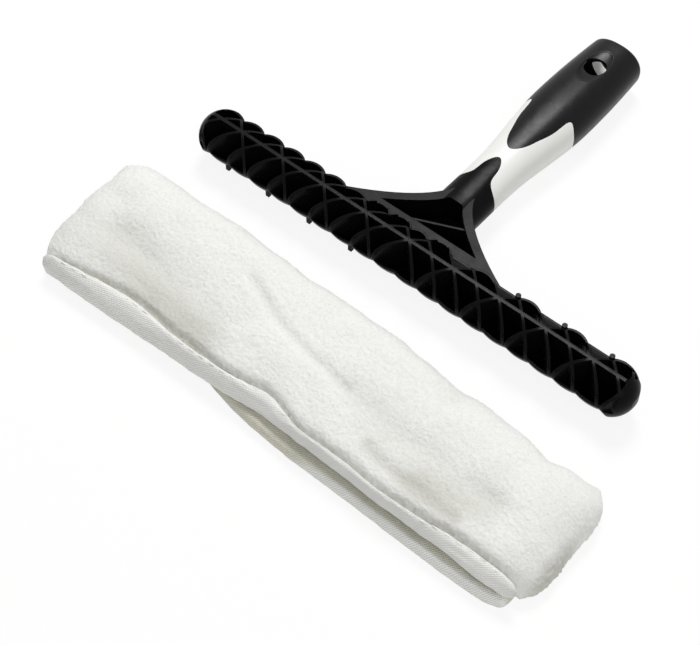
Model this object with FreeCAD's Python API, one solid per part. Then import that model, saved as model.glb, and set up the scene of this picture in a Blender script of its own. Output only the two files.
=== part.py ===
import FreeCAD, Part
import math
import os

# Window scrubber: a ribbed T-bar with a two-colour handle, and its plush sleeve taken off and laid beside it.
# Millimetres. X runs along the bar, +Y from the bar to the handle's end, +Z up from the table.

Vec = FreeCAD.Vector

# Bar
bar_length = 251.0
bar_front = 11.6            # rib ends on the sleeve side, measured from the bar's axis
bar_crown = 12.7            # top of the ribs above the bar's axis
bar_back = 7.5              # rib ends on the handle side
bar_corner = 9.5            # plan rounding of the bar's ends
end_ledge = 4.2             # solid ledge beyond the end ribs
ledge_drop = 1.8            # the ledge's top below the ribs' tops
end_ball_lift = 1.5         # centre of the ends' round form above the bar's axis
trough_radius = 12.5
trough_lift = 3.0           # the trough's centre line above the bar's axis
trough_wall = 1.2
scallop_rise = 0.9          # how far the trough swells between two ribs
rib_bite = 0.25             # how far a rib runs into the wall's thinnest place
back_swell = 2.3            # how far the handle-side wall swells between two ribs
gusset_swell = 4.4          # the same beside the recess
back_wall_top = 9.9         # top of the handle-side wall above the bar's axis
rib_thickness = 1.3
crown_width = 1.9
lattice_pitch = 25.4        # between two nodes on the crown
facet_drop = 0.8            # filled cells of the right half, below the ribs' tops
first_facet = 1             # filled cells start at this node
first_lug = 2
back_rib_reach = 12.7       # cross ribs under the trough, as a radius about the bar's axis
back_rib_thickness = 2.0
back_rib_half_width = 4.0
peg_start = 8.7             # stubs that peep out under the left half's sleeve side
peg_end = 10.5
peg_drop = 6.5
peg_shift = 1.0
lug_radius = 1.3
lug_height = 3.4

# Gusset between bar and handle
gusset_half_height = 8.6
gusset_half_width = 49.5
gusset_tip_half_width = 4.0
gusset_reach = 48.0         # from the bar's axis to where the gusset has become the throat
gusset_sweep = 1.88         # power of the flare
recess_half_width = 27.5
recess_tip_half_width = 4.5
recess_root = 13.6          # from the bar's axis to the recess
recess_tip = 34.0
recess_sweep = 1.35
recess_floor = 2.0
recess_tip_rounding = 2.5
recess_rim_slack = 0.01      # how near the tip an edge has to be to be rounded
recess_rib_thickness = 1.2
recess_rib_drop = 1.5
recess_rib_start = -10.0    # along the bar
recess_rib_turn = 24.0

# Handle, as half-widths across X and half-heights along Z
handle_end = 164.0
throat_start = 28.0
neck_place = 60.0
neck_half_width = 11.5
neck_half_height = 10.6
swell_place = 118.0
swell_half_width = 16.3
swell_half_height = 12.8
end_half_width = 14.2
end_half_height = 11.6
end_rounding = 2.2
throat_flare = 0.6          # extra half-width where the throat leaves the gusset
section_power = 2.3         # 2 is an ellipse, more is squarer
grip_thickness = 1.7
tang_start = 42.0
tang_clearance = 0.15

# Edges of the white band, front and back alike
throat_tip = 67.0
throat_shoulder = 53.0
throat_side = 47.0
throat_tongue_half_width = 5.7
grip_tip = 74.5
grip_lobe = 107.5
grip_side = 104.5
grip_tongue_half_width = 12.5

# Pole socket and hanging hole
socket_radius = 9.5
socket_depth = 92.0
hang_hole_radius = 5.7
hang_hole_inset = 21.0      # from the handle's end
dish_length = 27.0
dish_width = 15.0
dish_depth = 1.1

# Sleeve
sleeve_length = 284.0
sleeve_offset = 3.5         # along the bar, from the bar's middle
sleeve_gap = 24.0           # from the bar's front to the fold
sleeve_height = 22.0
sleeve_pile_width = 62.0    # from the fold to where the pile meets the hems
sleeve_section_power = 3.0
sleeve_seat_cut = 0.5       # flattened where it lies
sleeve_end_taper = 17.0     # length over which the ends round off
sleeve_end_height = 7.7
sleeve_end_draw = 5.0       # how far the ends draw in
sleeve_crown_rise = 0.5     # soft swells along the top
sleeve_crown_swells = 3
sleeve_mouth_trim = 6.0     # oval cut away to leave a flat mouth
fabric_thickness = 7.0
pocket_end_wall = 10.0
lip_width = 10.0            # pile on the lifting lip
lip_gap = 0.3
lip_split = 10.5            # height of the joint between the lip and the lower panel at the ends
hinge_clearance = 0.6       # hinge line above the cloth
upper_hem_width = 8.5
upper_hem_height = 6.5
upper_hem_base = 10.2
lower_hem_width = 15.5      # at its widest, where it stands out from under the upper hem
lower_hem_tucked_width = 7.5
lower_hem_far_width = 10.0
lower_hem_step_start = -16.0    # along the bar, where the hem comes out and where it is fully out
lower_hem_step_end = 12.0
lower_hem_height = 5.0
hem_end_inset = 6.0
tape_thickness = 1.4
tape_width = 9.0
tape_end_inset = 14.0
seam_thickness = 2.5
seam_inset = 4.0
stitch_pitch = 6.0
stitch_length = 3.4
stitch_width = 0.7
stitch_height = 0.4
stitch_inset = 2.0


def union(shapes):
    return shapes[0].multiFuse(shapes[1:]).removeSplitter()


def closed_curve(points):
    curve = Part.BSplineCurve()
    curve.interpolate(Points=points, PeriodicFlag=True)
    return Part.Wire([curve.toShape()])


def open_curve(points):
    curve = Part.BSplineCurve()
    curve.interpolate(points)
    return curve.toShape()


def signed_power(value, power):
    return math.copysign(abs(value) ** power, value)


def oval_points(half_width, half_height, power, count=24):
    places = []
    for step in range(count):
        turn = 2 * math.pi * step / count
        across = half_width * signed_power(math.cos(turn), 2 / power)
        upward = half_height * signed_power(math.sin(turn), 2 / power)
        places.append((across, upward))
    return places


def prism(wire, low, high):
    bottom = Part.Face(wire)
    bottom.translate(Vec(0, 0, low))
    return bottom.extrude(Vec(0, 0, high - low))


# Bar: scalloped trough, crossing ribs and crown rib

half_bar = bar_length / 2
half_pitch = lattice_pitch / 2
node_count = int(half_bar / lattice_pitch)
wall_level = trough_radius - scallop_rise
back_shift = half_pitch * bar_back / bar_crown  # along the bar, from a rib's crown to its end
back_foot = trough_lift - math.sqrt(trough_radius ** 2 - bar_back ** 2)
bar_axis = swell_half_height            # height of the bar's axis above the table


def scalloped_line(places, level, rises):
    edges = []
    for first, second, rise in zip(places, places[1:], rises):
        start = Vec(first, level, 0)
        finish = Vec(second, level, 0)
        if rise:
            edges.append(Part.Arc(start, Vec((first + second) / 2, level + rise, 0), finish).toShape())
        else:
            edges.append(Part.makeLine(start, finish))
    return edges


def scalloped_band(places, level, rises):
    outer = scalloped_line(places, level, rises)
    inner = scalloped_line(places, level - trough_wall, rises)
    start = Part.makeLine(Vec(places[0], level - trough_wall, 0), Vec(places[0], level, 0))
    finish = Part.makeLine(Vec(places[-1], level, 0), Vec(places[-1], level - trough_wall, 0))
    return Part.Wire(Part.__sortEdges__(outer + inner + [start, finish]))


def front_rib_places():
    inside = int(half_bar / half_pitch)
    places = [step * half_pitch for step in range(-inside, inside + 1)]
    return [-half_bar] + places + [half_bar]


def back_rib_places():
    last = half_bar - end_ledge
    places = [-last, last]
    for step in range(1, 2 * node_count + 2):
        place = step * half_pitch - back_shift
        places.extend((place, -place))
    return sorted(places)


def back_swells(places):
    swells = []
    for first, second in zip(places, places[1:]):
        middle = (first + second) / 2
        half_cell = round((second + back_shift) / half_pitch)
        if middle > 0 and half_cell % 2 == 1:
            swells.append(0.0)
        else:
            swells.append(gusset_swell if 0 < abs(middle) < recess_half_width else back_swell)
    return swells


def make_trough():
    places = front_rib_places()
    band = Part.Face(scalloped_band(places, wall_level, [scallop_rise] * (len(places) - 1)))
    rim_turn = math.degrees(math.asin(trough_lift / trough_radius))
    back_turn = math.degrees(math.asin(bar_back / trough_radius))
    band.rotate(Vec(0, 0, 0), Vec(1, 0, 0), 180 + rim_turn)
    round_wall = band.revolve(Vec(0, 0, 0), Vec(1, 0, 0), 90 - rim_turn + back_turn)
    round_wall.translate(Vec(0, 0, trough_lift))
    places = back_rib_places()
    back_wall = prism(scalloped_band(places, bar_back, back_swells(places)), back_foot, back_wall_top)
    return [round_wall, back_wall]


def along_bar(section):
    section.translate(Vec(-half_bar, 0, 0))
    return section.extrude(Vec(bar_length, 0, 0))


def dome(drop):
    centre = (bar_crown ** 2 - bar_front ** 2) / (2 * bar_crown)
    radius = bar_crown - centre - drop
    back = bar_back - rib_bite
    rim = Vec(0, -math.sqrt(radius ** 2 - centre ** 2), 0)
    corner = Vec(0, back, centre + math.sqrt(radius ** 2 - back ** 2))
    foot = Vec(0, back, 0)
    arc = Part.Arc(rim, Vec(0, 0, centre + radius), corner).toShape()
    return along_bar(Part.Face(Part.Wire([arc, Part.makeLine(corner, foot), Part.makeLine(foot, rim)])))


def bowl():
    radius = wall_level - rib_bite
    back = bar_back - rib_bite
    half_mouth = math.sqrt(radius ** 2 - trough_lift ** 2)
    rim = Vec(0, -half_mouth, 0)
    bottom = Vec(0, 0, trough_lift - radius)
    corner = Vec(0, back, trough_lift - math.sqrt(radius ** 2 - back ** 2))
    foot = Vec(0, back, 0)
    arc = Part.Arc(rim, bottom, corner).toShape()
    return along_bar(Part.Face(Part.Wire([arc, Part.makeLine(corner, foot), Part.makeLine(foot, rim)])))


def make_ledges():
    return dome(ledge_drop).fuse(bowl()).cut(plan_limit(end_ledge)).Solids


def plan_limit(inset):
    front = trough_radius + rib_bite
    back = bar_back + back_swell + rib_bite
    box = Part.makeBox(bar_length - 2 * inset, front + back, 4 * trough_radius,
                       Vec(inset - half_bar, -front, -2 * trough_radius))
    corners = [edge for edge in box.Edges if abs(edge.tangentAt(edge.FirstParameter).z) > 0.9]
    return box.makeFillet(bar_corner, corners)


def end_limit():
    straight = half_bar - trough_radius
    radius = trough_radius + rib_bite
    middle = Part.makeBox(2 * straight, 4 * radius, 4 * radius, Vec(-straight, -2 * radius, -2 * radius))
    balls = [Part.makeSphere(radius, Vec(side * straight, 0, end_ball_lift)) for side in (-1, 1)]
    return middle.multiFuse(balls)


def make_end_ribs():
    return plan_limit(end_ledge - rib_bite).cut(plan_limit(end_ledge + rib_thickness)).Solids


def rib_plate(crown_place, lean):
    run = math.hypot(bar_crown, half_pitch)
    plate = Part.makeBox(3 * run, rib_thickness, 2 * bar_crown,
                         Vec(-1.5 * run, -rib_thickness / 2, -bar_crown))
    plate.rotate(Vec(0, 0, 0), Vec(0, 0, 1), math.degrees(math.atan2(bar_crown, lean * half_pitch)))
    plate.translate(Vec(crown_place, 0, 0))
    return plate


def make_ribs():
    plates = [rib_plate(0, 1), rib_plate(0, -1)]
    for step in range(1, 2 * node_count + 2):
        place = step * half_pitch
        plates.append(rib_plate(-place, 1))
        plates.append(rib_plate(place, -1))
        if step % 2 == 0:
            plates.append(rib_plate(-place, -1))
            plates.append(rib_plate(place, 1))
    last = half_bar - end_ledge
    crown_start = Vec(-last, -crown_width / 2, -bar_crown)
    plates.append(Part.makeBox(2 * last, crown_width, 2 * bar_crown, crown_start))
    plates.extend(make_end_ribs())
    inside = plan_limit(end_ledge - rib_bite)
    return union(plates).common(dome(0).fuse(bowl())).common(inside)


def make_facets():
    facets = []
    for step in range(first_facet, node_count + 1):
        place = step * lattice_pitch
        corners = [Vec(place, 0, 0), Vec(place + half_pitch - back_shift, bar_back, 0),
                   Vec(place - back_shift, bar_back, 0)]
        facets.append(prism(Part.makePolygon(corners + corners[:1]), 0, bar_crown))
    return Part.makeCompound(facets).common(dome(facet_drop)).Solids


def make_back_ribs():
    under = Part.makeCylinder(back_rib_reach, bar_length, Vec(-half_bar, 0, 0), Vec(1, 0, 0))
    room_radius = wall_level - trough_wall / 2
    room = Part.makeCylinder(room_radius, bar_length, Vec(-half_bar, 0, trough_lift), Vec(1, 0, 0))
    slabs = []
    for step in range(1, node_count + 1):
        place = step * lattice_pitch - back_rib_thickness / 2
        for start in (place, -place - back_rib_thickness):
            slabs.append(Part.makeBox(back_rib_thickness, 2 * back_rib_half_width, back_rib_reach,
                                      Vec(start, -back_rib_half_width, -back_rib_reach)))
        slabs.append(Part.makeBox(back_rib_thickness, peg_end - peg_start, peg_drop,
                                  Vec(-place - back_rib_thickness - peg_shift, -peg_end, -peg_drop)))
    return [slab.common(under).cut(room) for slab in slabs]


def make_lugs():
    lugs = []
    for step in range(first_lug, node_count + 1):
        place = Vec((step + 0.5) * lattice_pitch - back_shift, bar_back, back_wall_top - lug_height / 2)
        lugs.append(Part.makeCylinder(lug_radius, lug_height, place))
    return lugs


# Gusset: a flared plate with a sunk triangle

def flare(place, tip_half_width, root_half_width, start, reach, power):
    left = max(0.0, 1 - (place - start) / (reach - start))
    return tip_half_width + (root_half_width - tip_half_width) * left ** power


def flared_wire(tip_half_width, root_half_width, start, reach, power, count=9):
    side = []
    for step in range(count):
        place = start + (reach - start) * step / (count - 1)
        side.append(Vec(flare(place, tip_half_width, root_half_width, start, reach, power), place, 0))
    other = [Vec(-point.x, point.y, 0) for point in side]
    base = Part.makeLine(other[0], side[0])
    tip = Part.makeLine(side[-1], other[-1])
    return Part.Wire([base, open_curve(side), tip, open_curve(list(reversed(other)))])


gusset_root = bar_back - trough_wall


def make_gusset():
    wire = flared_wire(gusset_tip_half_width, gusset_half_width, gusset_root, gusset_reach, gusset_sweep)
    plate = prism(wire, -gusset_half_height, gusset_half_height)
    places = back_rib_places()
    level = bar_back - trough_wall
    start = Vec(places[0], level, 0)
    finish = Vec(places[-1], level, 0)
    across_bar = Vec(0, -level, 0)
    edges = scalloped_line(places, level, back_swells(places))
    edges.append(Part.makeLine(finish, finish + across_bar))
    edges.append(Part.makeLine(finish + across_bar, start + across_bar))
    edges.append(Part.makeLine(start + across_bar, start))
    return plate.cut(prism(Part.Wire(Part.__sortEdges__(edges)), back_foot, 2 * gusset_half_height))


def make_recess():
    wire = flared_wire(recess_tip_half_width, recess_half_width, recess_root, recess_tip, recess_sweep)
    sunk = prism(wire, recess_floor - gusset_half_height, 2 * gusset_half_height)
    upright = [edge for edge in sunk.Edges if edge.BoundBox.ZLength > recess_floor]
    tips = [edge for edge in upright if edge.BoundBox.YMin > recess_tip - recess_rim_slack]
    sunk = sunk.makeFillet(recess_tip_rounding, tips)
    rib = Part.makeBox(2 * recess_half_width, recess_rib_thickness, 2 * gusset_half_height - recess_rib_drop,
                       Vec(0, 0, -gusset_half_height))
    rib.rotate(Vec(0, 0, 0), Vec(0, 0, 1), recess_rib_turn)
    rib.translate(Vec(recess_rib_start, recess_root, 0))
    return sunk.cut(rib)


# Handle: one outer form, cut into throat, core and rear grip

def handle_size(place):
    if place <= neck_place:
        share = (place - throat_start) / (neck_place - throat_start)
        return (neck_half_width + throat_flare * (1 - share),
                gusset_half_height + (neck_half_height - gusset_half_height) * share)
    if place <= swell_place:
        share = (place - neck_place) / (swell_place - neck_place)
        ease = share * share * (3 - 2 * share)
        return (neck_half_width + (swell_half_width - neck_half_width) * ease,
                neck_half_height + (swell_half_height - neck_half_height) * ease)
    share = (place - swell_place) / (handle_end - swell_place)
    return (swell_half_width + (end_half_width - swell_half_width) * share ** 2,
            swell_half_height + (end_half_height - swell_half_height) * share ** 2)


def handle_wire(place, inset):
    half_width, half_height = handle_size(place)
    ring = oval_points(half_width - inset, half_height - inset, section_power)
    return closed_curve([Vec(across, place, upward) for across, upward in ring])


def handle_solid(start, finish, inset, count):
    wires = [handle_wire(start + (finish - start) * step / (count - 1), inset) for step in range(count)]
    return Part.makeLoft(wires, True, False)


def rounded_handle():
    body = handle_solid(throat_start, handle_end, 0, 14)
    end_edges = []
    for edge in body.Edges:
        if abs(edge.BoundBox.YMin - handle_end) < 0.01:
            end_edges.append(edge)
    return body.makeFillet(end_rounding, end_edges)


def beyond_line(points):
    mirrored = [Vec(-point.x, point.y, 0) for point in reversed(points[1:])]
    wave = open_curve(mirrored + points)
    first = wave.Vertexes[0].Point
    last = wave.Vertexes[-1].Point
    far = 2 * handle_end
    edges = [wave, Part.makeLine(last, Vec(last.x, far, 0)),
             Part.makeLine(Vec(last.x, far, 0), Vec(first.x, far, 0)),
             Part.makeLine(Vec(first.x, far, 0), first)]
    return prism(Part.Wire(edges), -2 * swell_half_height, 2 * swell_half_height)


def make_throat_edge():
    drop = throat_tip - throat_shoulder
    half = throat_tongue_half_width
    points = [Vec(0, throat_tip, 0), Vec(0.5 * half, throat_tip - 0.2 * drop, 0),
              Vec(0.8 * half, throat_tip - 0.62 * drop, 0), Vec(half, throat_shoulder, 0),
              Vec(1.6 * half, (throat_shoulder + throat_side) / 2, 0),
              Vec(1.5 * swell_half_width, throat_side, 0)]
    return beyond_line(points)


def make_grip_edge():
    climb = grip_lobe - grip_tip
    half = grip_tongue_half_width
    points = [Vec(0, grip_tip, 0), Vec(0.28 * half, grip_tip + 0.08 * climb, 0),
              Vec(0.58 * half, grip_tip + 0.36 * climb, 0), Vec(0.82 * half, grip_tip + 0.76 * climb, 0),
              Vec(half, grip_lobe, 0), Vec(1.2 * half, (grip_lobe + grip_side) / 2, 0),
              Vec(1.5 * half, grip_side, 0)]
    return beyond_line(points)


def make_dish():
    place = handle_end - hang_hole_inset
    dish = Part.makeSphere(1)
    stretch = FreeCAD.Matrix()
    stretch.scale(dish_width / 2, dish_length / 2, 2 * dish_depth)
    dish = dish.transformGeometry(stretch)
    dish.translate(Vec(0, place, handle_size(place)[1] + dish_depth / 2))
    return dish


def make_bores():
    socket_foot = Vec(0, handle_end - socket_depth, 0)
    socket = Part.makeCylinder(socket_radius, socket_depth, socket_foot, Vec(0, 1, 0))
    hole = Part.makeCylinder(hang_hole_radius, 4 * swell_half_height,
                             Vec(0, handle_end - hang_hole_inset, -2 * swell_half_height))
    return socket.fuse(hole)


def make_t_bar():
    outer = rounded_handle()
    white_and_grip = make_throat_edge()
    grip_side_of = make_grip_edge()
    bores = make_bores()
    inner = handle_solid(tang_start, handle_end - end_rounding, grip_thickness, 12)
    tang_room = handle_solid(tang_start - tang_clearance, handle_end - end_rounding,
                             grip_thickness - tang_clearance, 12)
    throat = outer.cut(white_and_grip)
    bar = make_trough() + make_ledges() + make_lugs() + make_facets() + make_back_ribs() + [make_ribs()]
    bar = union(bar).common(plan_limit(0)).common(end_limit())
    bar = union([bar, make_gusset(), throat]).cut(make_recess()).cut(tang_room)
    band = outer.common(white_and_grip).cut(grip_side_of)
    core = union([band, inner]).cut(bores)
    grip = outer.common(grip_side_of).cut(inner).cut(bores).cut(make_dish())
    core = core.cut(grip)
    return {"lattice_bar": bar, "handle_core": core, "rear_grip": grip}


# Sleeve: a plush pocket lying on its fold, mouth away from the bar

fold_place = -bar_crown - sleeve_gap
half_sleeve = sleeve_length / 2
cloth_top = sleeve_height + 2 * sleeve_crown_rise - sleeve_seat_cut
lip_start = sleeve_pile_width - lip_width
hem_start = sleeve_offset - half_sleeve + hem_end_inset
hem_finish = sleeve_offset + half_sleeve - hem_end_inset


def across(depth):
    return fold_place - depth


def sleeve_wire(place):
    inward = half_sleeve - abs(place)
    share = min(1.0, inward / sleeve_end_taper)
    round_off = math.sqrt(1 - (1 - share) ** 2)
    half_height = (sleeve_end_height + (sleeve_height - sleeve_end_height) * round_off) / 2
    half_height += share * sleeve_crown_rise * math.cos(sleeve_crown_swells * math.pi * place / half_sleeve)
    middle = (sleeve_pile_width + sleeve_mouth_trim) / 2
    ring = oval_points(middle - sleeve_end_draw * (1 - round_off), half_height, sleeve_section_power)
    base = half_height - sleeve_seat_cut
    along = place + sleeve_offset
    return closed_curve([Vec(along, across(middle + wide), base + high) for wide, high in ring])


def sleeve_box(start, finish, low, high, inset):
    return Part.makeBox(sleeve_length - 2 * inset, finish - start, high - low,
                        Vec(sleeve_offset - half_sleeve + inset, across(finish), low))


def make_sleeve_form():
    stations = [1.0, 0.97, 0.92, 0.86, 0.7, 0.45, 0.2]
    places = [-half_sleeve * share for share in stations] + [0.0]
    places += [half_sleeve * share for share in reversed(stations)]
    form = Part.makeLoft([sleeve_wire(place) for place in places], True, False)
    keep = sleeve_box(-sleeve_pile_width, sleeve_pile_width, 0, 2 * sleeve_height, -half_sleeve)
    return form.common(keep)


pocket_low = fabric_thickness
pocket_high = sleeve_height - sleeve_seat_cut - fabric_thickness


def make_pile():
    form = make_sleeve_form()
    pocket = sleeve_box(fabric_thickness, 2 * sleeve_pile_width, pocket_low, pocket_high, pocket_end_wall)
    corners = [edge for edge in pocket.Edges if abs(edge.tangentAt(edge.FirstParameter).z) > 0.9]
    cloth = form.cut(pocket.makeFillet(seam_inset / 2, corners))
    lift_zone = sleeve_box(lip_start - lip_gap, 2 * sleeve_pile_width, lip_split - lip_gap,
                           2 * sleeve_height, -half_sleeve)
    lip_zone = sleeve_box(lip_start, 2 * sleeve_pile_width, lip_split, 2 * sleeve_height, -half_sleeve)
    return {"pile_cover": cloth.cut(lift_zone), "lip_pile": cloth.common(lip_zone)}


def hem_wire(place, width, height, base):
    nose = height / 2
    flat = width - nose
    start = Vec(0, across(sleeve_pile_width), base)
    low = Vec(0, across(sleeve_pile_width + flat), base)
    tip = Vec(0, across(sleeve_pile_width + width), base + nose)
    high = Vec(0, across(sleeve_pile_width + flat), base + height)
    back = Vec(0, across(sleeve_pile_width), base + height)
    edges = [Part.makeLine(start, low), Part.Arc(low, tip, high).toShape(),
             Part.makeLine(high, back), Part.makeLine(back, start)]
    wire = Part.Wire(edges)
    wire.translate(Vec(place, 0, 0))
    return wire


def make_upper_hem():
    first = Part.Face(hem_wire(hem_start, upper_hem_width, upper_hem_height, upper_hem_base))
    return first.extrude(Vec(hem_finish - hem_start, 0, 0))


def lower_hem_reach(place):
    out = (place - lower_hem_step_start) / (lower_hem_step_end - lower_hem_step_start)
    out = min(1.0, max(0.0, out))
    ease = out * out * (3 - 2 * out)
    back = max(0.0, (place - lower_hem_step_end) / (hem_finish - lower_hem_step_end))
    return (lower_hem_tucked_width + (lower_hem_width - lower_hem_tucked_width) * ease
            - (lower_hem_width - lower_hem_far_width) * back)


def make_lower_hem(count=7):
    places = [hem_start]
    for step in range(count):
        share = step / (count - 1)
        places.append(lower_hem_step_start + (lower_hem_step_end - lower_hem_step_start) * share)
    places.append(hem_finish)
    wires = [hem_wire(place, lower_hem_reach(place), lower_hem_height, 0) for place in places]
    return Part.makeLoft(wires, True, True)


def make_stitches(top, inset):
    usable = sleeve_length - 2 * (inset + stitch_pitch)
    count = int(usable / stitch_pitch)
    depth = sleeve_pile_width + stitch_inset
    stitches = []
    for step in range(count):
        place = sleeve_offset + (step - (count - 1) / 2) * stitch_pitch - stitch_length / 2
        stitches.append(Part.makeBox(stitch_length, stitch_width, stitch_height,
                                     Vec(place, across(depth + stitch_width), top)))
    return Part.makeCompound(stitches)


def make_end_seam(place):
    corner = Vec(sleeve_offset + place, across(lip_start - seam_inset), pocket_low)
    length = lip_start - 3 * seam_inset - fabric_thickness
    return Part.makeBox(seam_thickness, length, pocket_high - pocket_low, corner)


def make_sleeve():
    nodes = make_pile()
    nodes["upper_hem"] = make_upper_hem()
    nodes["lower_hem"] = make_lower_hem()
    nodes["hook_tape"] = sleeve_box(sleeve_pile_width - tape_width, sleeve_pile_width,
                                    pocket_high - tape_thickness, pocket_high, tape_end_inset)
    nodes["loop_tape"] = sleeve_box(sleeve_pile_width - tape_width, sleeve_pile_width,
                                    pocket_low, pocket_low + tape_thickness, tape_end_inset)
    seam_reach = half_sleeve - pocket_end_wall
    nodes["left_end_seam"] = make_end_seam(-seam_reach)
    nodes["right_end_seam"] = make_end_seam(seam_reach - seam_thickness)
    nodes["upper_stitching"] = make_stitches(upper_hem_base + upper_hem_height, hem_end_inset)
    nodes["lower_stitching"] = make_stitches(lower_hem_height, hem_end_inset)
    return nodes


# Layout: T-bar lifted to lie on the table, everything centred between the mouth's edge and the handle's end

nodes = make_t_bar()
for shape in nodes.values():
    shape.translate(Vec(0, 0, bar_axis))
nodes.update(make_sleeve())

mouth_edge = across(sleeve_pile_width + lower_hem_width)
to_origin = Vec(-sleeve_offset, -(mouth_edge + handle_end) / 2, 0)

os.makedirs("parts", exist_ok=True)
for name, shape in nodes.items():
    shape.translate(to_origin)
    shape.exportStep("parts/" + name + ".step")
    box = shape.optimalBoundingBox()
    corners = [round(side, 2) for side in (box.XMin, box.XMax, box.YMin, box.YMax, box.ZMin, box.ZMax)]
    print(name, "solids", len(shape.Solids), "valid", shape.isValid(), "volume", round(shape.Volume), corners)

print("socket mouth", round(to_origin.x, 3), round(handle_end + to_origin.y, 3), round(bar_axis, 3))
hole_place = handle_end - hang_hole_inset + to_origin.y
print("hang hole", round(to_origin.x, 3), round(hole_place, 3), round(bar_axis, 3))
print("lip hinge", round(across(lip_start) + to_origin.y, 3), round(cloth_top + hinge_clearance, 3))
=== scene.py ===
import math

import bmesh
import bpy
from mathutils import Matrix, Vector, geometry, noise


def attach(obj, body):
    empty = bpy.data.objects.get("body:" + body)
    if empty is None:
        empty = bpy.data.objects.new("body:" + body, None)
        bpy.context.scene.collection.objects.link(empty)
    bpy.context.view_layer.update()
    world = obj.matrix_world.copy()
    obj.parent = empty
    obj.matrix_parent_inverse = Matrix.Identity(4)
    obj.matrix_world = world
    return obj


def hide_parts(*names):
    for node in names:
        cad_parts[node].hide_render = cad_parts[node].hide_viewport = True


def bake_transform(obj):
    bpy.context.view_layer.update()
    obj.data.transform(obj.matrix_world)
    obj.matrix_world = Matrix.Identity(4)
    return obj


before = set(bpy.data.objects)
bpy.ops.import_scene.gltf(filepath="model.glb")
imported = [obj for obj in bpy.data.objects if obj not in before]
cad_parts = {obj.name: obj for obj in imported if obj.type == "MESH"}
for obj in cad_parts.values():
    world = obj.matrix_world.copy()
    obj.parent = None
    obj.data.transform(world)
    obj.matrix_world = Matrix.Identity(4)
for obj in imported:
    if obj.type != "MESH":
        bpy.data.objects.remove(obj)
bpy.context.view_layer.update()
mm = 0.001
print("frame loaded,", len(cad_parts), "pieces")


# camera at the photograph's angle, found from the nodes of the bar and the handle's line

cameraSetup = dict(place=(0.3199, -0.4481, 0.6824), target=(-0.00568, -0.06335, 0.0),
                   lens=96.47, sensor=36.0, shift=(-0.0006, 0.0014), clip=(0.01, 50))

cameraData = bpy.data.cameras.new("photoCamera")
cameraData.lens = cameraSetup["lens"]
cameraData.sensor_width = cameraSetup["sensor"]
cameraData.shift_x, cameraData.shift_y = cameraSetup["shift"]
cameraData.clip_start, cameraData.clip_end = cameraSetup["clip"]
camera = bpy.data.objects.new("photoCamera", cameraData)
camera.location = cameraSetup["place"]
lookAlong = Vector(cameraSetup["target"]) - Vector(cameraSetup["place"])
camera.rotation_mode = "QUATERNION"
camera.rotation_quaternion = lookAlong.to_track_quat("-Z", "Y")
bpy.context.scene.collection.objects.link(camera)
bpy.context.scene.camera = camera
bpy.context.scene.view_settings.view_transform = "Standard"
print("camera set")


# studio: a softbox high behind the bar, a weak fill from the right in front, a white floor

studio = dict(keyPlace=(-0.50, 0.82, 1.66), keySize=0.60, keyPower=29.5,
              fillPlace=(0.95, -0.7, 1.1), fillSize=1.2, fillPower=7.0,
              ambient=0.27, floorSize=6.0, floorDrop=0.0004, floorColor=(0.93, 0.93, 0.92, 1),
              floorWhite=0.88)               # floorWhite: how much plain white the camera sees in the floor


def addSoftbox(name, place, size, power):
    data = bpy.data.lights.new(name, "AREA")
    data.size = size
    data.energy = power
    lamp = bpy.data.objects.new(name, data)
    lamp.location = place
    lamp.rotation_mode = "QUATERNION"
    lamp.rotation_quaternion = (-Vector(place)).to_track_quat("-Z", "Y")
    bpy.context.scene.collection.objects.link(lamp)


addSoftbox("keySoftbox", studio["keyPlace"], studio["keySize"], studio["keyPower"])
addSoftbox("fillSoftbox", studio["fillPlace"], studio["fillSize"], studio["fillPower"])


def addNode(tree, kind, **values):
    node = tree.nodes.new(kind)
    for key, value in values.items():
        if key in node.inputs:
            node.inputs[key].default_value = value
        else:
            setattr(node, key, value)
    return node


def feed(tree, socket, value):
    # the value is a fixed one, or the output that gives it
    if isinstance(value, bpy.types.NodeSocket):
        tree.links.new(value, socket)
    else:
        socket.default_value = value


def addMath(tree, operation, *values, clamp=False):
    node = addNode(tree, "ShaderNodeMath", operation=operation, use_clamp=clamp)
    for socket, value in zip(node.inputs, values):
        feed(tree, socket, value)
    return node.outputs["Value"]


def plainlySeen(tree):
    # 1 for what the camera sees, straight or in a reflection, and 0 for the light that falls on the object
    rays = addNode(tree, "ShaderNodeLightPath")
    seen = rays.outputs["Is Camera Ray"]
    for kind in ("Is Glossy Ray", "Is Transmission Ray"):
        seen = addMath(tree, "ADD", seen, rays.outputs[kind], clamp=True)
    return seen


def mixSurface(tree, share, first, second, output):
    mixed = addNode(tree, "ShaderNodeMixShader")
    for socket, value in zip(mixed.inputs, (share, first, second)):
        feed(tree, socket, value)
    tree.links.new(mixed.outputs["Shader"], tree.nodes[output].inputs["Surface"])


world = bpy.data.worlds.new("studioWorld")
bpy.context.scene.world = world
world.use_nodes = True
worldTree = world.node_tree
softSky = worldTree.nodes["Background"]
softSky.inputs["Color"].default_value = (1, 1, 1, 1)
softSky.inputs["Strength"].default_value = studio["ambient"]
whiteSky = addNode(worldTree, "ShaderNodeBackground", Color=(1, 1, 1, 1), Strength=1.0)
mixSurface(worldTree, plainlySeen(worldTree), softSky.outputs["Background"],
           whiteSky.outputs["Background"], "World Output")
print("studio lit")


# materials

def newMaterial(name):
    material = bpy.data.materials.new(name)
    material.use_nodes = True
    return material, material.node_tree, material.node_tree.nodes["Principled BSDF"]


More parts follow.
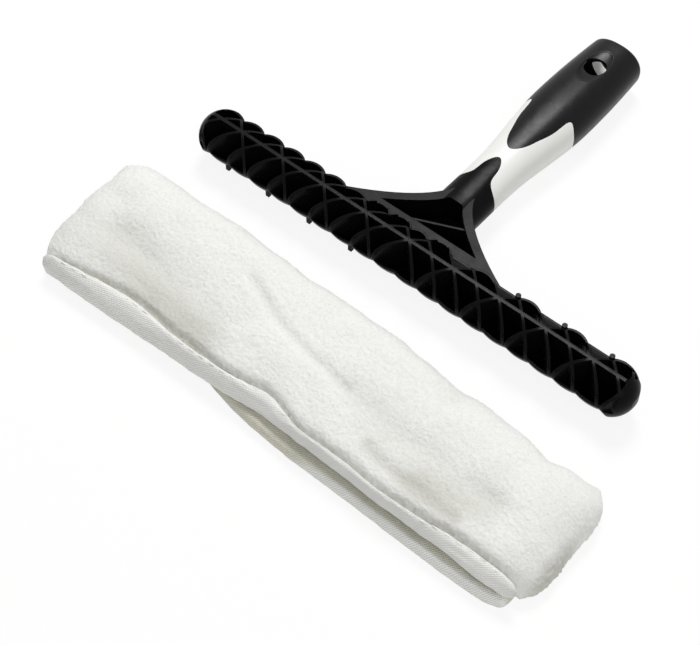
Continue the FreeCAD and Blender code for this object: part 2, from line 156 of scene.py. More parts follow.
def objectNoise(tree, scale, detail=3.0, roughness=0.55):
    where = addNode(tree, "ShaderNodeTexCoord")
    grain = addNode(tree, "ShaderNodeTexNoise", Scale=scale, Detail=detail, Roughness=roughness)
    tree.links.new(where.outputs["Object"], grain.inputs["Vector"])
    return grain.outputs["Fac"]


def colourRamp(tree, source, stops):
    ramp = addNode(tree, "ShaderNodeValToRGB")
    while len(ramp.color_ramp.elements) < len(stops):
        ramp.color_ramp.elements.new(0.5)
    for element, (place, colour) in zip(ramp.color_ramp.elements, stops):
        element.position = place
        element.color = (*colour, 1)
    tree.links.new(source, ramp.inputs["Fac"])
    return ramp.outputs["Color"]


def mixColours(tree, share, first, second, blend="MIX"):
    mixed = addNode(tree, "ShaderNodeMix", data_type="RGBA", blend_type=blend)
    for name, value in (("Factor", share), ("A", first), ("B", second)):
        feed(tree, mixed.inputs[name], value)
    return mixed.outputs["Result"]


def spread(tree, source, low, high):
    # noise keeps to its middle, which is spread over the whole range
    limits = {"From Min": 0.3, "From Max": 0.7, "To Min": low, "To Max": high}
    place = addNode(tree, "ShaderNodeMapRange", clamp=True, **limits)
    tree.links.new(source, place.inputs["Value"])
    return place.outputs["Result"]


def addBump(tree, source, strength, distance, under=None):
    bump = addNode(tree, "ShaderNodeBump", Strength=strength, Distance=distance)
    tree.links.new(source, bump.inputs["Height"])
    if under:
        tree.links.new(under, bump.inputs["Normal"])
    return bump.outputs["Normal"]


barLook = dict(dark=(0.0025, 0.0025, 0.0026), light=(0.0036, 0.0036, 0.0037),
               rough=0.27, gloss=0.05, grain=0.00003)
gripLook = dict(dark=(0.0024, 0.0024, 0.0025), light=(0.0036, 0.0036, 0.0037),
                rough=0.30, gloss=0.14, grain=0.00002)
coreLook = dict(dark=(0.76, 0.76, 0.735), light=(0.79, 0.79, 0.765),
                rough=0.42, gloss=0.4, grain=0.00003)
edgeRound = 0.0004                           # how far the moulded edges look rounded


def mouldedPlastic(name, look):
    material, tree, shader = newMaterial(name)
    cloud = objectNoise(tree, 35.0, 4.0)
    scuff = objectNoise(tree, 160.0, 5.0, 0.65)
    grain = objectNoise(tree, 2600.0, 2.0)
    rounded = addNode(tree, "ShaderNodeBevel", Radius=edgeRound, samples=6).outputs["Normal"]
    shader.inputs["Specular IOR Level"].default_value = look["gloss"]
    tree.links.new(colourRamp(tree, cloud, [(0.3, look["dark"]), (0.7, look["light"])]), shader.inputs["Base Color"])
    tree.links.new(spread(tree, scuff, look["rough"] - 0.05, look["rough"] + 0.07), shader.inputs["Roughness"])
    tree.links.new(addBump(tree, grain, 0.35, look["grain"], rounded), shader.inputs["Normal"])
    return material


barBlack = mouldedPlastic("barBlack", barLook)
gripBlack = mouldedPlastic("gripBlack", gripLook)
coreWhite = mouldedPlastic("coreWhite", coreLook)

# the pole socket's painted shade: white from its mouth to here, and how far the painted shade reaches from its axis
socketPaintedShade = dict(middle=(-0.0035, 0.1308, 0.0128), gripStart=-0.0208, bareReach=0.0097, coveredMore=0.006,
                   dark=(0.004, 0.004, 0.004, 1))


def paintSocketShade(material):
    # painted shade: the socket's depths are painted black and lose their reflection, as if unlit; only the part near
    # its mouth keeps its white, seen through the hanging hole
    tree = material.node_tree
    shader = tree.nodes["Principled BSDF"]
    paint = shader.inputs["Base Color"].links[0].from_socket
    gloss = shader.inputs["Specular IOR Level"].default_value
    where = addNode(tree, "ShaderNodeTexCoord")
    middle = addNode(tree, "ShaderNodeVectorMath", operation="SUBTRACT")
    middle.inputs[1].default_value = socketPaintedShade["middle"]
    tree.links.new(where.outputs["Object"], middle.inputs[0])
    along = addNode(tree, "ShaderNodeSeparateXYZ")
    tree.links.new(middle.outputs["Vector"], along.inputs["Vector"])
    across = addNode(tree, "ShaderNodeVectorMath", operation="MULTIPLY")
    across.inputs[1].default_value = (1, 0, 1)
    tree.links.new(middle.outputs["Vector"], across.inputs[0])
    radius = addNode(tree, "ShaderNodeVectorMath", operation="LENGTH")
    tree.links.new(across.outputs["Vector"], radius.inputs[0])
    deep = addMath(tree, "LESS_THAN", along.outputs["Y"], 0.0)
    covered = addMath(tree, "GREATER_THAN", along.outputs["Y"], socketPaintedShade["gripStart"])    # under the grip
    reach = addMath(tree, "MULTIPLY_ADD", covered, socketPaintedShade["coveredMore"], socketPaintedShade["bareReach"])
    paintedShadeMask = addMath(tree, "MULTIPLY", deep, addMath(tree, "LESS_THAN", radius.outputs["Value"], reach))
    # painted shade: black colour and no reflection where the mask is set
    tree.links.new(mixColours(tree, paintedShadeMask, paint, socketPaintedShade["dark"]), shader.inputs["Base Color"])
    tree.links.new(addMath(tree, "MULTIPLY_ADD", paintedShadeMask, -gloss, gloss), shader.inputs["Specular IOR Level"])


paintSocketShade(coreWhite)
for node, material in (("lattice_bar", barBlack), ("rear_grip", gripBlack), ("handle_core", coreWhite)):
    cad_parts[node].data.materials.clear()
    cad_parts[node].data.materials.append(material)

# the second pile colour is painted shade, multiplied into the pile in creases, along the groove and at the right
# end's edge
plushLook = dict(stops=[(0.30, (0.79, 0.79, 0.755)), (0.48, (0.845, 0.845, 0.815)), (0.68, (0.885, 0.885, 0.865))],
                 paintedPileShade=(0.74, 0.737, 0.70, 1), tuftScale=720.0, fibreScale=2400.0)
twillLook = dict(dark=(0.74, 0.74, 0.70), light=(0.97, 0.97, 0.945),
                 tapeDark=(0.57, 0.555, 0.45), tapeLight=(0.78, 0.765, 0.65),
                 size=(272.0, 24.0, 1.0),    # UV to mm
                 firstRibs=(38, 0.46), secondRibs=(-50, 0.40), firstShare=0.65)       # ribs: angle, scale


def plushMaterial(name):
    material, tree, shader = newMaterial(name)
    tufts = objectNoise(tree, plushLook["tuftScale"], 3.0, 0.62)
    fibres = objectNoise(tree, plushLook["fibreScale"], 3.0, 0.6)
    napAndPaintedShade = addNode(tree, "ShaderNodeAttribute", attribute_name="napAndPaintedShade")           # painted shade in folds, along the groove and at the right end's edge
    pale = colourRamp(tree, tufts, plushLook["stops"])
    pileWithPaintedShade = mixColours(tree, napAndPaintedShade.outputs["Fac"], pale, plushLook["paintedPileShade"], "MULTIPLY")
    tree.links.new(pileWithPaintedShade, shader.inputs["Base Color"])
    shader.inputs["Roughness"].default_value = 0.95
    shader.inputs["Specular IOR Level"].default_value = 0.1
    shader.inputs["Sheen Weight"].default_value = 0.25
    shader.inputs["Sheen Roughness"].default_value = 0.5
    soft = addBump(tree, tufts, 0.6, 0.0010)
    tree.links.new(addBump(tree, fibres, 0.4, 0.0005, soft), shader.inputs["Normal"])
    return material


def twillMaterial(name, taped):
    material, tree, shader = newMaterial(name)
    where = addNode(tree, "ShaderNodeTexCoord")
    tapeSize = addNode(tree, "ShaderNodeMapping", Scale=twillLook["size"])
    tree.links.new(where.outputs["UV"], tapeSize.inputs["Vector"])
    ribs = []
    for angle, scale in (twillLook["firstRibs"], twillLook["secondRibs"]):
        turned = addNode(tree, "ShaderNodeMapping", Rotation=(0, 0, math.radians(angle)))
        wave = addNode(tree, "ShaderNodeTexWave", Scale=scale, Distortion=0.8, Detail=1.0, wave_profile="SIN")
        tree.links.new(tapeSize.outputs["Vector"], turned.inputs["Vector"])
        tree.links.new(turned.outputs["Vector"], wave.inputs["Vector"])
        ribs.append(wave.outputs["Fac"])
    weave = addMath(tree, "MULTIPLY_ADD", ribs[0], twillLook["firstShare"], ribs[1])
    cloth = colourRamp(tree, weave, [(0.3, twillLook["dark"]), (1.0, twillLook["light"])])
    if taped:
        cream = colourRamp(tree, weave, [(0.3, twillLook["tapeDark"]), (1.0, twillLook["tapeLight"])])
        zone = addNode(tree, "ShaderNodeAttribute", attribute_name="tape")
        cloth = mixColours(tree, zone.outputs["Fac"], cloth, cream)
    tree.links.new(cloth, shader.inputs["Base Color"])
    shader.inputs["Roughness"].default_value = 0.72
    shader.inputs["Sheen Weight"].default_value = 0.15
    yarn = addBump(tree, objectNoise(tree, 900.0), 0.25, 0.0003)
    tree.links.new(addBump(tree, weave, 0.65, 0.0003, yarn), shader.inputs["Normal"])
    return material


def napMaterial(name, dark, light, depth):
    material, tree, shader = newMaterial(name)
    napAndPaintedShade = objectNoise(tree, 1100.0, 4.0, 0.7)
    tree.links.new(colourRamp(tree, napAndPaintedShade, [(0.3, dark), (0.7, light)]), shader.inputs["Base Color"])
    shader.inputs["Roughness"].default_value = 0.85
    tree.links.new(addBump(tree, napAndPaintedShade, 0.8, depth), shader.inputs["Normal"])
    return material


pileWhite = plushMaterial("pileWhite")
hemTwill = twillMaterial("hemTwill", taped=False)
lipTwill = twillMaterial("lipTwill", taped=True)
closureCream = napMaterial("closureCream", (0.60, 0.585, 0.47), (0.74, 0.725, 0.61), 0.0005)
threadWhite = napMaterial("threadWhite", (0.83, 0.83, 0.79), (0.92, 0.92, 0.89), 0.0001)
print("materials made")


def addPiece(name, form, material):
    mesh = bpy.data.meshes.new(name)
    form.to_mesh(mesh)
    form.free()
    mesh.materials.append(material)
    mesh.shade_smooth()
    piece = bpy.data.objects.new(name, mesh)
    bpy.context.scene.collection.objects.link(piece)
    return piece


def settle(piece, body, node):
    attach(piece, body)
    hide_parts(node)


# floor

floorForm = bmesh.new()
bmesh.ops.create_grid(floorForm, x_segments=1, y_segments=1, size=studio["floorSize"] / 2)
bmesh.ops.translate(floorForm, verts=floorForm.verts, vec=(0, 0, -studio["floorDrop"]))
floorPaint, floorTree, floorShader = newMaterial("floorWhite")
floorShader.inputs["Base Color"].default_value = studio["floorColor"]
floorShader.inputs["Roughness"].default_value = 0.9
floorShader.inputs["Specular IOR Level"].default_value = 0.0
floorGlow = addNode(floorTree, "ShaderNodeEmission", Strength=1.0)
floorShare = addMath(floorTree, "MULTIPLY", plainlySeen(floorTree), studio["floorWhite"])
mixSurface(floorTree, floorShare, floorShader.outputs["BSDF"], floorGlow.outputs["Emission"], "Material Output")
addPiece("studioFloor", floorForm, floorPaint)
print("floor laid")


# sleeve, laid beside the bar: its lines are in mm, run along x and were read off the photograph

layOffset = Vector((-0.5, 0.3, 0.0))         # from the lines' place to the frame's
tableClear = 0.05                            # cloth stays this far above the table


def toFrame(form):
    bmesh.ops.translate(form, vec=layOffset, verts=form.verts)
    bmesh.ops.scale(form, vec=(mm, mm, mm), verts=form.verts)


def readLine(line, x, column=1):
    # a smooth curve through the line's points
    place = 0
    while place < len(line) - 2 and line[place + 1][0] < x:
        place += 1
    before, near = line[max(0, place - 1)], line[place]
    far, after = line[place + 1], line[min(len(line) - 1, place + 2)]
    run = far[0] - near[0]
    share = min(1.0, max(0.0, (x - near[0]) / run))
    slopeNear = run * (far[column] - before[column]) / (far[0] - before[0])
    slopeFar = run * (after[column] - near[column]) / (after[0] - near[0])
    rest = 1 - share
    return (near[column] * rest * rest * (1 + 2 * share) + slopeNear * share * rest * rest
            + far[column] * share * share * (3 - 2 * share) - slopeFar * share * share * rest)


def ease(low, high, value):
    share = min(1.0, max(0.0, (value - low) / (high - low)))
    return share * share * (3 - 2 * share)


def evenSection(corners, count, wide, closed=False):
    # a smooth line through the corners, cut into even steps; the first number is a share of wide
    last = len(corners)
    points = []
    for index in range(last if closed else last - 1):
        if closed:
            ring = [Vector(corners[(index + step) % last]) for step in (-1, 0, 1, 2)]
        else:
            ring = [Vector(corners[min(last - 1, max(0, index + step))]) for step in (-1, 0, 1, 2)]
        firstHandle = ring[1] + (ring[2] - ring[0]) / 6
        secondHandle = ring[2] - (ring[3] - ring[1]) / 6
        points += geometry.interpolate_bezier(ring[1], firstHandle, secondHandle, ring[2], 24)[:-1]
    points.append(Vector(corners[0 if closed else -1]))
    runs = [0.0]
    for first, second in zip(points, points[1:]):
        runs.append(runs[-1] + math.hypot((second.x - first.x) * wide, second.y - first.y))
    even = []
    place = 0
    for step in range(count + 1):
        goal = runs[-1] * step / count
        while place < len(runs) - 2 and runs[place + 1] < goal:
            place += 1
        share = (goal - runs[place]) / (runs[place + 1] - runs[place])
        even.append(points[place].lerp(points[place + 1], min(1.0, max(0.0, share))))
    return even


def endEase(share, half, roundOff):
    # share runs from -1 to 1 along the piece; gives the place and how much of the section is left there
    straight = half - roundOff
    reach = abs(share) * (straight + roundOff * math.pi / 2)
    if reach <= straight:
        return math.copysign(reach, share), 1.0
    turn = (reach - straight) / roundOff
    return math.copysign(straight + roundOff * math.sin(turn), share), max(0.0, math.cos(turn))


# where the pile ends and the upper hem starts: x, y, z
grooveLine = [(-142, -129.9, 12.0), (-129, -129.0, 12.3), (-91, -124.1, 12.8), (-74, -124.0, 13.0),
              (-55, -126.3, 13.2), (-24, -126.2, 13.5), (-11, -124.8, 13.9), (0, -123.4, 14.4),
              (21, -128.6, 14.7), (35, -128.7, 14.8), (50, -129.0, 14.8), (62, -130.3, 14.8),
              (89, -129.2, 14.8), (102, -127.6, 14.8), (129, -127.0, 13.6), (142, -128.0, 10.8)]

cover = dict(
    half=142, along=420, around=200, leftRound=14, rightRound=22, leftPower=0.9, rightPower=0.8,
    endDraw=0.01, endsFrom=70,               # ends: drawn-in share, and where their lines start to tell
    seamLine=[(-142, 8.0), (110, 5.0), (142, 3.0)],
    mouthLine=[(-142, -123.6), (115, -123.6), (130, -126.5), (142, -128.0)],
    foldLine=[(-142, -66.0), (-136, -63.6), (-124, -61.7), (-89, -62.3), (-69, -61.7), (-54, -62.8), (-25, -63.8),
              (-8, -63.5), (8, -64.5), (23, -63.8), (36, -65.7), (46, -66.2), (60, -67.4), (68, -66.4),
              (84, -67.5), (110, -70.8), (117, -71.2), (134, -68.2), (139, -66.5), (142, -64.5)],
    crownLine=[(-142, 20.0), (-115, 20.8), (-40, 22.0), (10, 22.0), (60, 21.4), (100, 21.8), (142, 21.2)],
    leftEnd=[(0, -143.0), (0.13, -140.6), (0.2, -140.2), (0.35, -141.0), (0.6, -139.6), (0.8, -138.4),
             (0.92, -136.0), (1, -133.0)],
    rightEnd=[(0, 134.5), (0.07, 138.5), (0.16, 141.6), (0.3, 142.8), (0.6, 142.8), (0.75, 143.4),
              (0.9, 142.2), (1, 138.6)],
    section=[(1.0, 6.2), (0.995, 3.2), (0.965, 0.9), (0.90, 0.1), (0.5, 0.05), (0.2, 0.1), (0.07, 1.5), (0.015, 5.4),
             (0.0, 10.4), (0.018, 15.4), (0.075, 19.4), (0.17, 21.6), (0.30, 22.0), (0.5, 21.6), (0.7, 20.5),
             (0.85, 19.3), (0.945, 17.8), (0.977, 16.0), (0.993, 14.0), (1.004, 13.3), (1.014, 13.0)],
    wide=62, crown=22.0, lipHeight=13.6,     # the section's own size
    upperFrom=(7.5, 13.0), lipFrom=(0.6, 1.0), topFrom=9,
    creases=[                                # depth, half width, then the line's points
        (2.2, 11.0, (-108, -103), (-86, -112), (-62, -119), (-46, -123)),
        (1.4, 17.0, (-130, -108), (-100, -110), (-70, -114), (-48, -119)),
        (1.3, 2.8, (-45, -85), (-22, -94.5), (0, -99.5), (26, -102.5)),
        (1.8, 9.0, (28, -104), (44, -106), (60, -107), (76, -104)),
        (2.6, 3.2, (50, -118), (58, -120.5), (75, -122), (100, -122.8)),
        (3.0, 9.0, (80, -118), (95, -114), (106, -109)),
        (1.2, 7.0, (64, -66), (63, -78)),
        (1.1, 6.0, (111, -70), (110, -82)),
        (0.9, 5.0, (-137, -86), (-121, -86)),
        (-1.8, 9.0, (-20, -110), (5, -115), (25, -115)),
        (-1.2, 10.0, (72, -88), (95, -87), (108, -84)),
        (-1.0, 9.0, (122, -100), (128, -112), (126, -121))],
    # the last two numbers: painted shade per mm of crease depth, and extra painted shade on the lip side
    creaseFrom=(9, 15), lipSide=(-104, -116), lipKeeps=0.65, creasePaintedShade=0.17, lipPaintedShade=0.1)

pile = dict(tuft=0.30, tuftScale=0.62, curl=0.20, curlScale=1.4,
            lumps=0.9, lumpScale=0.045, smallLumps=0.5, smallLumpScale=2.3,
            flatFrom=(112, 138), flatShare=0.6,                                # the right end's pile lies flatter
            # painted shade next to the groove: its strength where the pile meets the hem
            grooveEdge=2.2, mouthEdge=3.0, edgeCalm=0.5, groovePaintedShade=0.9, fringe=0.9, fringeScale=0.84, fringeLong=0.3,
            # painted shade along the right end's lower edge: the side, in y, where it starts
            endEdge=(0.965, 1.0), endPaintedShadeSide=(-90, -104), endTuft=1.3, endTuftScale=0.42, endTuftLayer=7)

pocket = dict(half=132, around=14, endRound=6, wide=20, inset=7.0, low=7.0, high=14.5,
              lipInset=0.8, tuckFrom=0.8, tuck=1.6,
              section=[(1, -1), (0.6, -1), (0.08, -1), (0.0, 0), (0.08, 1), (0.6, 1), (1, 1)])


def plushPush(spot):
    tufts = noise.noise(spot * pile["tuftScale"])
    curls = noise.noise(spot * pile["curlScale"])
    slow = noise.noise(spot * pile["lumpScale"])
    slow += pile["smallLumps"] * noise.noise(spot * pile["lumpScale"] * pile["smallLumpScale"])
    fine = 1 - pile["flatShare"] * ease(*pile["flatFrom"], spot.x)
    return fine * (pile["tuft"] * tufts + pile["curl"] * curls) + pile["lumps"] * slow


def creaseDepth(x, y):
    total = 0.0
    spot = Vector((x, y, 0))
    for depth, width, *line in cover["creases"]:
        if not min(point[0] for point in line) - 3 * width < x < max(point[0] for point in line) + 3 * width:
            continue
        nearest = math.inf
        for start, stop in zip(line, line[1:]):
            foot, share = geometry.intersect_point_line(spot, (*start, 0), (*stop, 0))
            if share < 0:
                foot = Vector((*start, 0))
            elif share > 1:
                foot = Vector((*stop, 0))
            nearest = min(nearest, (spot - foot).length)
        total += depth * math.exp(-(nearest / width) ** 2)
    return total


def makeCover():
    form = bmesh.new()
    bmesh.ops.create_grid(form, x_segments=cover["along"], y_segments=cover["around"], size=1)
    section = evenSection(cover["section"], cover["around"], cover["wide"])
    stations = []
    for step in range(cover["along"] + 1):
        share = 2 * step / cover["along"] - 1
        place, left = endEase(share, cover["half"], cover["rightRound" if share > 0 else "leftRound"])
        stations.append((place, left, readLine(cover["foldLine"], place), readLine(grooveLine, place, 1),
                         readLine(grooveLine, place, 2), readLine(cover["crownLine"], place) / cover["crown"],
                         readLine(cover["mouthLine"], place), readLine(cover["seamLine"], place)))
    for vert in form.verts:
        station = stations[round((vert.co.x + 1) / 2 * cover["along"])]
        place, left, fold, groove, grooveHigh, tall, mouth, seam = station
        turn = round((vert.co.y + 1) / 2 * cover["around"])
        share, high = section[turn]
        share = abs(1 - 2 * turn / cover["around"]) * (1 - left) + share * left   # the panels meet at the end seam
        upper = ease(*cover["upperFrom"], high)
        wide = mouth * (1 - upper) + groove * upper - fold
        y = fold + wide * (share + cover["endDraw"] * (1 - left) * (1 - 2 * share))
        lip = upper * ease(*cover["lipFrom"], share)
        z = high * (tall * upper + 1 - upper) + (grooveHigh - cover["lipHeight"]) * lip
        z = seam + (z - seam) * left ** cover["rightPower" if place > 0 else "leftPower"]
        ends = cover["rightEnd"] if place > 0 else cover["leftEnd"]
        stretch = abs(readLine(ends, share)) / cover["half"] - 1
        x = place * (1 + stretch * ease(cover["endsFrom"], cover["half"], abs(place)))
        vert.co = (x, y, z)
    bmesh.ops.remove_doubles(form, verts=form.verts, dist=0.01)
    form.normal_update()
    return form


def addPile(form):
    # painted shade, kept per vertex for the pile's material
    napAndPaintedShade = form.verts.layers.float.new("napAndPaintedShade")
    outward = 1 if sum(vert.normal.z for vert in form.verts if vert.co.z > 18) > 0 else -1
    for vert, normal in [(vert, vert.normal * outward) for vert in form.verts]:
        x, y, z = vert.co
        onTop = z > cover["topFrom"]
        if onTop:
            edge = ease(pile["grooveEdge"], 0.0, y - readLine(grooveLine, x))
        else:
            edge = ease(pile["mouthEdge"], 0.0, y - readLine(cover["mouthLine"], x))
        vert.co += normal * plushPush(vert.co) * (1 - pile["edgeCalm"] * edge)
        if onTop:
            crease = creaseDepth(x, y) * ease(*cover["creaseFrom"], z)
            lip = ease(*cover["lipSide"], y)
            # painted shade: the pile's colour darkens with crease depth and next to the groove
            paintedPileShade = max(0.0, crease * (cover["creasePaintedShade"] + cover["lipPaintedShade"] * lip))
            vert[napAndPaintedShade] = min(1.0, paintedPileShade + pile["groovePaintedShade"] * edge * edge)
            vert.co -= normal * crease * (1 - cover["lipKeeps"] * lip)         # the lip keeps its thickness
            stretched = Vector((x, y * pile["fringeLong"], z * pile["fringeLong"]))
            vert.co.y += pile["fringe"] * edge * noise.noise(stretched * pile["fringeScale"])
        endEdge = ease(*pile["endEdge"], abs(x) / abs(readLine(cover["rightEnd" if x > 0 else "leftEnd"], 0.5)))
        # painted shade along the right end's edge, towards the mouth side
        if x > 0:
            vert[napAndPaintedShade] = max(vert[napAndPaintedShade], endEdge * ease(*pile["endPaintedShadeSide"], y))
        tooth = noise.noise(Vector((y, z, pile["endTuftLayer"])) * pile["endTuftScale"])
        vert.co.x += math.copysign(pile["endTuft"] * endEdge * tooth, x)
        vert.co.z = max(vert.co.z, tableClear)


def addPocket(form):
    rim = [edge for edge in form.edges if edge.is_boundary]
    lining = bmesh.new()
    bmesh.ops.create_grid(lining, x_segments=cover["along"], y_segments=pocket["around"], size=1)
    middle, half = (pocket["high"] + pocket["low"]) / 2, (pocket["high"] - pocket["low"]) / 2
    section = evenSection(pocket["section"], pocket["around"], pocket["wide"])
    for vert in lining.verts:
        place, left = endEase(vert.co.x, pocket["half"], pocket["endRound"])
        share, high = section[round((vert.co.y + 1) / 2 * pocket["around"])]
        fold = readLine(cover["foldLine"], place) - pocket["inset"]
        mouth = readLine(cover["mouthLine"], place)
        z = middle + high * half * left
        if high > 0:
            mouth = max(mouth, readLine(grooveLine, place) + pocket["lipInset"])
            over = pocket["high"] - readLine(grooveLine, place, 2) + pocket["tuck"]
            z -= ease(pocket["tuckFrom"], 1.0, share) * max(0.0, over)         # tucked in under the pile's edge
        vert.co = (place, fold + share * (mouth - fold), z)
    bmesh.ops.remove_doubles(lining, verts=lining.verts, dist=0.01)
    spare = bpy.data.meshes.new("pocketLining")
    lining.to_mesh(spare)
    lining.free()
    before = set(form.edges)
    form.from_mesh(spare)
    bpy.data.meshes.remove(spare)
    inner = [edge for edge in form.edges if edge not in before and edge.is_boundary]
    bmesh.ops.bridge_loops(form, edges=rim + inner)
    bmesh.ops.recalc_face_normals(form, faces=form.faces)


coverForm = makeCover()
addPile(coverForm)
addPocket(coverForm)
toFrame(coverForm)
plushCover = addPiece("plushCover", coverForm, pileWhite)
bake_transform(plushCover)
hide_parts("pile_cover", "lip_pile")
print("plush cover made")


# hems: twill tape rolled over each lip of the mouth

upperHem = dict(left=-131.8, right=138.5, along=300, around=28, capRound=5.0,
                pucker=0.30, puckerScale=0.22, wrinkle=0.35, hump=1.9,
                outerLine=[(-142, -134.8, 3.8), (-133, -134.4, 3.7), (-94, -134.1, 3.7), (-61, -132.9, 4.1),
                           (-35, -132.6, 4.9), (-18, -132.2, 6.2), (0, -131.4, 8.3), (15, -132.0, 9.5),
                           (32, -132.3, 9.8), (48, -132.6, 9.8), (61, -133.5, 9.8), (75, -133.4, 9.8),
                           (91, -133.8, 9.8), (105, -133.7, 9.8), (118, -134.3, 9.4), (129, -133.8, 8.4),
                           (142, -132.7, 6.4)],
                roll=[(0.03, 0.0, -0.45), (0.05, 0.1, 0.0), (0.15, 0.8, 0.0), (0.27, 0.95, 0.0), (0.33, 0.85, 0.0),
                      (0.42, 0.92, -0.05), (0.6, 0.72, -0.16), (0.76, 0.42, -0.30), (0.89, 0.13, -0.48),
                      (0.98, 0.0, -0.68), (0.96, 0.0, -0.88), (0.8, 0.0, -1.0), (0.5, 0.0, -0.86),
                      (0.2, 0.0, -0.7)])     # out, hump, drop

lowerHem = dict(left=-135.0, right=136.5, along=300, around=30, capRound=3.0,
                pucker=0.22, puckerScale=0.20, wrinkle=0.2, root=-122.6,
                reachLine=[(-142, 4.5), (-60, 4.5), (-46, 4.2), (-11, 11.2), (18, 13.9), (46, 14.1),
                           (107, 15.4), (126, 14.7), (134, 12.6), (142, 11.0)],
                flap=[(0.0, 2.0), (0.0, 7.0), (0.2, 7.7), (0.45, 7.7), (0.65, 7.2), (0.75, 6.9), (0.84, 7.1),
                      (0.92, 6.6), (0.98, 5.2), (1.0, 3.4), (0.99, 1.4), (0.93, 0.35), (0.8, 0.1), (0.4, 0.1)],
                tuckedHeight=0.58, fullFrom=(6, 13),         # flatter where it is tucked under the upper hem
                tapeLine=[(-142, 0.7), (-52, 0.8), (-36, 1.15), (12, 1.1), (40, 0.9), (142, 0.78)],
                tapeFade=0.05, tapeFacing=(-0.4, 0.1))       # tapeLine: share of the lip that is cream

cloth = dict(puckerLong=0.6, streakAlong=0.045, streakAcross=0.42)


def upperRing(x):
    grooveY, grooveZ = readLine(grooveLine, x, 1), readLine(grooveLine, x, 2)
    wide = grooveY - readLine(upperHem["outerLine"], x, 1)
    deep = grooveZ - readLine(upperHem["outerLine"], x, 2)
    ring = [(out * wide, hump * upperHem["hump"] + drop * deep) for out, hump, drop in upperHem["roll"]]
    even = evenSection(ring, upperHem["around"], 1, closed=True)
    return [Vector((grooveY - spot.x, grooveZ + spot.y)) for spot in even]


def lowerRing(x):
    reach = readLine(lowerHem["reachLine"], x)
    even = evenSection(lowerHem["flap"], lowerHem["around"], reach, closed=True)
    tall = lowerHem["tuckedHeight"] + (1 - lowerHem["tuckedHeight"]) * ease(*lowerHem["fullFrom"], reach)
    return [Vector((lowerHem["root"] - spot.x * reach, spot.y * tall)) for spot in even]


def sweepStrip(spec, shape):
    # a closed ring of cloth carried along the sleeve, its ends rounded off and closed
    form = bmesh.new()
    form.loops.layers.uv.new("weave")
    bmesh.ops.create_grid(form, x_segments=spec["along"], y_segments=spec["around"], size=1, calc_uvs=True)
    centre, half = (spec["right"] + spec["left"]) / 2, (spec["right"] - spec["left"]) / 2
    stations = []
    for step in range(spec["along"] + 1):
        place, left = endEase(2 * step / spec["along"] - 1, half, spec["capRound"])
        ring = shape(centre + place)
        middle = sum(ring[:-1], Vector((0, 0))) / (len(ring) - 1)
        stations.append((centre + place, [middle + (spot - middle) * left for spot in ring]))
    for vert in form.verts:
        x, ring = stations[round((vert.co.x + 1) / 2 * spec["along"])]
        vert.co = (x, *ring[round((vert.co.y + 1) / 2 * spec["around"])])
    bmesh.ops.remove_doubles(form, verts=form.verts, dist=0.01)
    bmesh.ops.recalc_face_normals(form, faces=form.faces)
    form.normal_update()
    for vert, normal in [(vert, vert.normal.copy()) for vert in form.verts]:
        x, y, z = vert.co
        wave = noise.noise(Vector((x, y * cloth["puckerLong"], z * cloth["puckerLong"])) * spec["puckerScale"])
        streak = noise.noise(Vector((x * cloth["streakAlong"], y * cloth["streakAcross"], z * cloth["streakAcross"])))
        vert.co += normal * (spec["pucker"] * wave + spec["wrinkle"] * streak)
        vert.co.z = max(vert.co.z, tableClear)
    return form


def addHem(name, spec, shape, body, node, material):
    form = sweepStrip(spec, shape)
    toFrame(form)
    hem = addPiece(name, form, material)
    settle(hem, body, node)
    return hem


addHem("rolledHem", upperHem, upperRing, "closure_lip", "upper_hem", hemTwill)
lowerLip = addHem("lowerLip", lowerHem, lowerRing, "sleeve", "lower_hem", lipTwill)
tapeZone = lowerLip.data.attributes.new("tape", "FLOAT", "POINT")
for vert in lowerLip.data.vertices:
    place = vert.co / mm - layOffset
    share = (lowerHem["root"] - place.y) / readLine(lowerHem["reachLine"], place.x)
    limit, fade = readLine(lowerHem["tapeLine"], place.x), lowerHem["tapeFade"]
    facing = ease(*lowerHem["tapeFacing"], vert.normal.z)
    tapeZone.data[vert.index].value = ease(limit + fade, limit - fade, share) * facing
print("hems made")


# hook tape under the upper lip, loop tape on the lower one

tapes = dict(left=-128.0, right=128.0, inner=-114.6, outer=-121.4, thick=1.1, along=256, across=10,
             napAndPaintedShade=0.22, napScale=1.3, hookHeight=12.4, loopHeight=8.2, lipHeight=14.8, rim=0.1)


def addTape(name, high, facing, body, node):
    form = bmesh.new()
    bmesh.ops.create_grid(form, x_segments=tapes["along"], y_segments=tapes["across"], size=1)
    wide, deep = (tapes["right"] - tapes["left"]) / 2, (tapes["inner"] - tapes["outer"]) / 2
    bmesh.ops.scale(form, vec=(wide, deep, 1), verts=form.verts)
    bmesh.ops.translate(form, vec=(0, tapes["inner"] - deep, high), verts=form.verts)
    if facing < 0:
        bmesh.ops.reverse_faces(form, faces=form.faces)
    bmesh.ops.solidify(form, geom=form.faces[:], thickness=tapes["thick"])
    for vert in form.verts:
        atEnd = abs(vert.co.x) > tapes["right"] - tapes["rim"]
        if (vert.co.z - high) * facing > -tapes["rim"] and not atEnd:
            vert.co.z += facing * tapes["napAndPaintedShade"] * noise.noise(vert.co * tapes["napScale"])
        if facing < 0:
            vert.co.z += readLine(grooveLine, vert.co.x, 2) - tapes["lipHeight"]       # lower to the left
    bmesh.ops.recalc_face_normals(form, faces=form.faces)
    toFrame(form)
    settle(addPiece(name, form, closureCream), body, node)


addTape("hookStrip", tapes["hookHeight"], -1, "closure_lip", "hook_tape")
addTape("loopStrip", tapes["loopHeight"], 1, "sleeve", "loop_tape")
print("tapes made")


# sewn allowances inside the closed ends

endSeam = dict(x=130.75, thick=1.9, near=-109.6, far=-76.6, low=7.3, high=14.2, along=44, across=8,
               curl=0.5, curlScale=0.16)


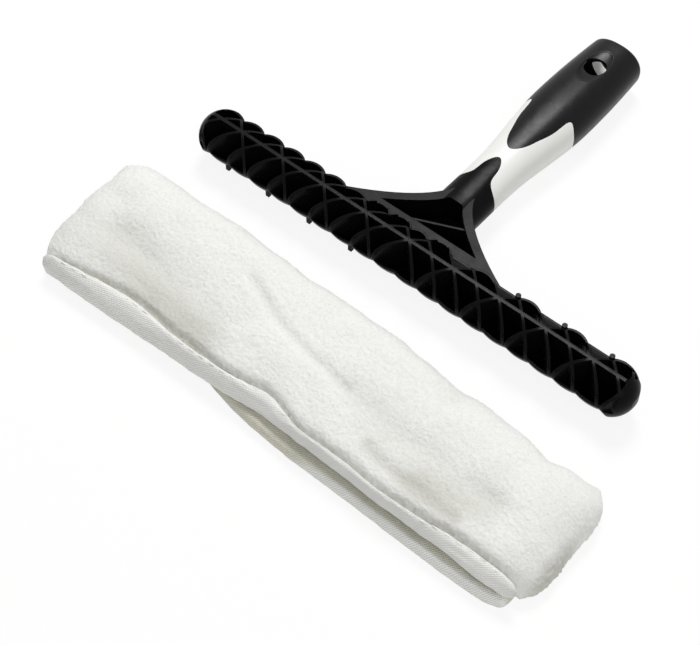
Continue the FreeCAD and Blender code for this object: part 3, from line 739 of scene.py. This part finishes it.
def addEndSeam(name, side, node):
    form = bmesh.new()
    form.loops.layers.uv.new("weave")
    bmesh.ops.create_grid(form, x_segments=endSeam["along"], y_segments=endSeam["across"], size=1, calc_uvs=True)
    long, tall = (endSeam["far"] - endSeam["near"]) / 2, (endSeam["high"] - endSeam["low"]) / 2
    bmesh.ops.scale(form, vec=(long, tall, 1), verts=form.verts)
    for axis in ("X", "Z"):
        bmesh.ops.rotate(form, verts=form.verts, cent=(0, 0, 0), matrix=Matrix.Rotation(math.pi / 2, 3, axis))
    middle = (side * endSeam["x"], endSeam["far"] - long, endSeam["low"] + tall)
    bmesh.ops.translate(form, vec=middle, verts=form.verts)
    for vert in form.verts:
        vert.co.x += endSeam["curl"] * noise.noise(vert.co * endSeam["curlScale"])
    bmesh.ops.solidify(form, geom=form.faces[:], thickness=endSeam["thick"])
    bmesh.ops.recalc_face_normals(form, faces=form.faces)
    toFrame(form)
    settle(addPiece(name, form, hemTwill), "sleeve", node)


addEndSeam("leftAllowance", -1, "left_end_seam")
addEndSeam("rightAllowance", 1, "right_end_seam")
print("end seams made")


# threads along both hems

threads = dict(count=43, pitch=6.0, length=3.4, width=0.6, thick=0.3, upperOut=2.4, lowerOut=3.4,
               search=0.9, lift=0.05)


def addThreads(name, ring, root, out, body, node):
    form = bmesh.new()
    for index in range(threads["count"]):
        x = (index - (threads["count"] - 1) / 2) * threads["pitch"]
        goal = root(x) - out
        close = [point for point in ring(x) if abs(point.x - goal) < threads["search"]]
        spot = max(close, key=lambda point: point.y)
        made = bmesh.ops.create_uvsphere(form, u_segments=8, v_segments=5, radius=0.5)["verts"]
        bmesh.ops.scale(form, vec=(threads["length"], threads["width"], threads["thick"]), verts=made)
        bmesh.ops.translate(form, vec=(x, spot.x, spot.y + threads["lift"]), verts=made)
    toFrame(form)
    settle(addPiece(name, form, threadWhite), body, node)


addThreads("upperThreads", upperRing, lambda x: readLine(grooveLine, x), threads["upperOut"],
           "closure_lip", "upper_stitching")
addThreads("lowerThreads", lowerRing, lambda x: lowerHem["root"], threads["lowerOut"],
           "sleeve", "lower_stitching")
print("threads made")
